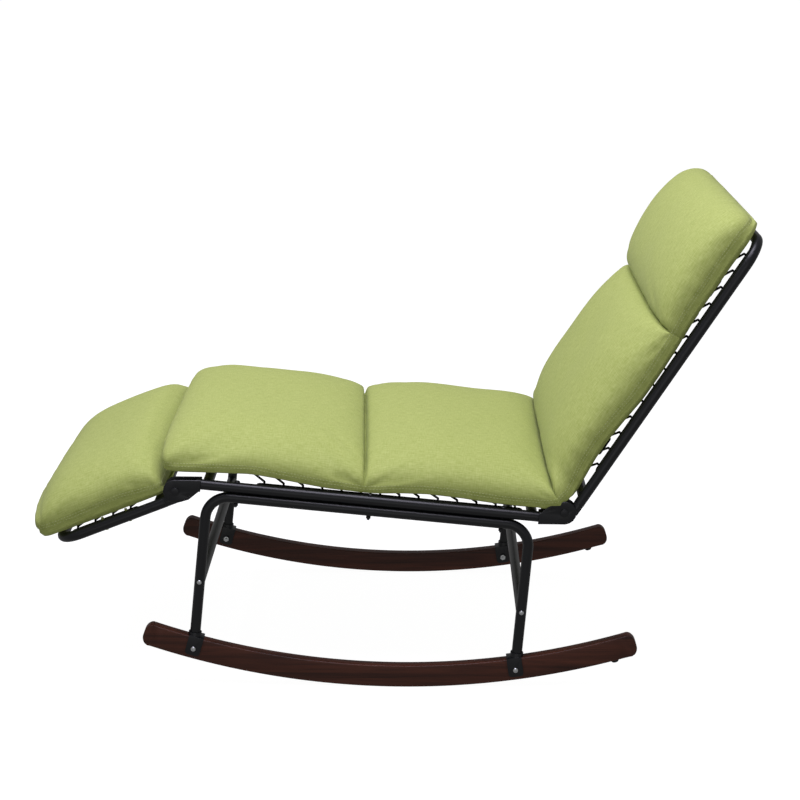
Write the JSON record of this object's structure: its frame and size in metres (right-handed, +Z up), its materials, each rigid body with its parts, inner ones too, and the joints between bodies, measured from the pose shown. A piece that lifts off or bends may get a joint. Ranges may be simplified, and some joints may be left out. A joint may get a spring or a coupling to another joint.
{
  "type": "rocker recliner",
  "caption": "Tubular steel lounge chair on curved wooden rockers, with a reclining backrest and tilting legrest on ratchet hinges, laced slings and stuffed canvas cushions.",
  "frame": {"origin": "on the floor, under the middle of the chair's outline", "axes": "+X from the foot end to the head end, +Z up, -Y the sitter's left"},
  "size_m": [1.2726, 0.6242, 0.8651],
  "materials": {
    "black_steel": "black satin powder coat on steel tube and plate",
    "zinc": "bright zinc plate",
    "walnut": "dark red-brown stained hardwood, satin lacquer",
    "rubber": "matte black rubber",
    "canvas": "apple green woven canvas over foam, topstitched",
    "sling": "black sling canvas with a hem and eyelets",
    "cord": "black woven elastic cord"
  },
  "bodies": {
    "base": {"rocker_left": "walnut", "rocker_right": "walnut", "rocker_stop_left": "rubber", "rocker_stop_right": "rubber", "foot_bracket_front_left": "black_steel", "foot_bracket_front_right": "black_steel", "foot_bracket_rear_left": "black_steel", "foot_bracket_rear_right": "black_steel", "rocker_bolt_front_left": "zinc", "rocker_bolt_front_right": "zinc", "rocker_bolt_rear_left": "zinc", "rocker_bolt_rear_right": "zinc", "leg_frame_left": "black_steel", "leg_frame_right": "black_steel", "stretcher_front": "black_steel", "stretcher_rear": "black_steel", "seat_tube_left": "black_steel", "seat_tube_right": "black_steel", "seat_cross_tube_front": "black_steel", "seat_cross_tube_rear": "black_steel", "seat_bolt_front_left": "zinc", "seat_bolt_front_right": "zinc", "seat_bolt_middle_left": "zinc", "seat_bolt_middle_right": "zinc", "seat_bolt_rear_left": "zinc", "seat_bolt_rear_right": "zinc", "seat_sling": "sling", "seat_lacing_left": "cord", "seat_lacing_right": "cord", "seat_cushion": "canvas", "hinge_rear_left_outer_cheek": "black_steel", "hinge_rear_left_inner_cheek": "black_steel", "hinge_rear_left_pin": "black_steel", "hinge_rear_right_outer_cheek": "black_steel", "hinge_rear_right_inner_cheek": "black_steel", "hinge_rear_right_pin": "black_steel", "hinge_front_left_outer_cheek": "black_steel", "hinge_front_left_inner_cheek": "black_steel", "hinge_front_left_pin": "black_steel", "hinge_front_right_outer_cheek": "black_steel", "hinge_front_right_inner_cheek": "black_steel", "hinge_front_right_pin": "black_steel"},
    "backrest": {"backrest_tube": "black_steel", "backrest_sling": "sling", "backrest_lacing_left": "cord", "backrest_lacing_right": "cord", "back_cushion": "canvas", "hinge_rear_left_gear_arm": "black_steel", "hinge_rear_right_gear_arm": "black_steel"},
    "legrest": {"legrest_tube": "black_steel", "legrest_sling": "sling", "legrest_lacing_left": "cord", "legrest_lacing_right": "cord", "legrest_cushion": "canvas", "hinge_front_left_gear_arm": "black_steel", "hinge_front_right_gear_arm": "black_steel"},
    "rear_left_pawl": {"hinge_rear_left_pawl": "zinc"},
    "rear_right_pawl": {"hinge_rear_right_pawl": "zinc"},
    "front_left_pawl": {"hinge_front_left_pawl": "zinc"},
    "front_right_pawl": {"hinge_front_right_pawl": "zinc"}
  },
  "joints": [
    {"name": "backrest_recline", "type": "hinge", "parent": "base", "child": "backrest", "pos_m": [0.30239, 0, 0.33482], "axis": [0, 1, 0], "range_deg": [-9, 63]},
    {"name": "legrest_tilt", "type": "hinge", "parent": "base", "child": "legrest", "pos_m": [-0.38722, 0, 0.37208], "axis": [0, 1, 0], "range_deg": [-45, 27]},
    {"name": "rear_left_pawl_lift", "type": "hinge", "parent": "base", "child": "rear_left_pawl", "pos_m": [0.27952, -0.295, 0.34254], "axis": [0, 1, 0], "range_deg": [0, 8], "stiffness_Nm_per_rad": 0.004, "springref_deg": -17.19},
    {"name": "rear_right_pawl_lift", "type": "hinge", "parent": "base", "child": "rear_right_pawl", "pos_m": [0.27952, 0.295, 0.34254], "axis": [0, 1, 0], "range_deg": [0, 8], "stiffness_Nm_per_rad": 0.004, "springref_deg": -17.19},
    {"name": "front_left_pawl_lift", "type": "hinge", "parent": "base", "child": "front_left_pawl", "pos_m": [-0.36435, -0.295, 0.36436], "axis": [0, 1, 0], "range_deg": [0, 8], "stiffness_Nm_per_rad": 0.004, "springref_deg": -17.19},
    {"name": "front_right_pawl_lift", "type": "hinge", "parent": "base", "child": "front_right_pawl", "pos_m": [-0.36435, 0.295, 0.36436], "axis": [0, 1, 0], "range_deg": [0, 8], "stiffness_Nm_per_rad": 0.004, "springref_deg": -17.19}
  ],
  "couplings": [
    {"joint": "rear_right_pawl_lift", "follows": "rear_left_pawl_lift", "ratio": 1},
    {"joint": "front_right_pawl_lift", "follows": "front_left_pawl_lift", "ratio": 1}
  ]
}
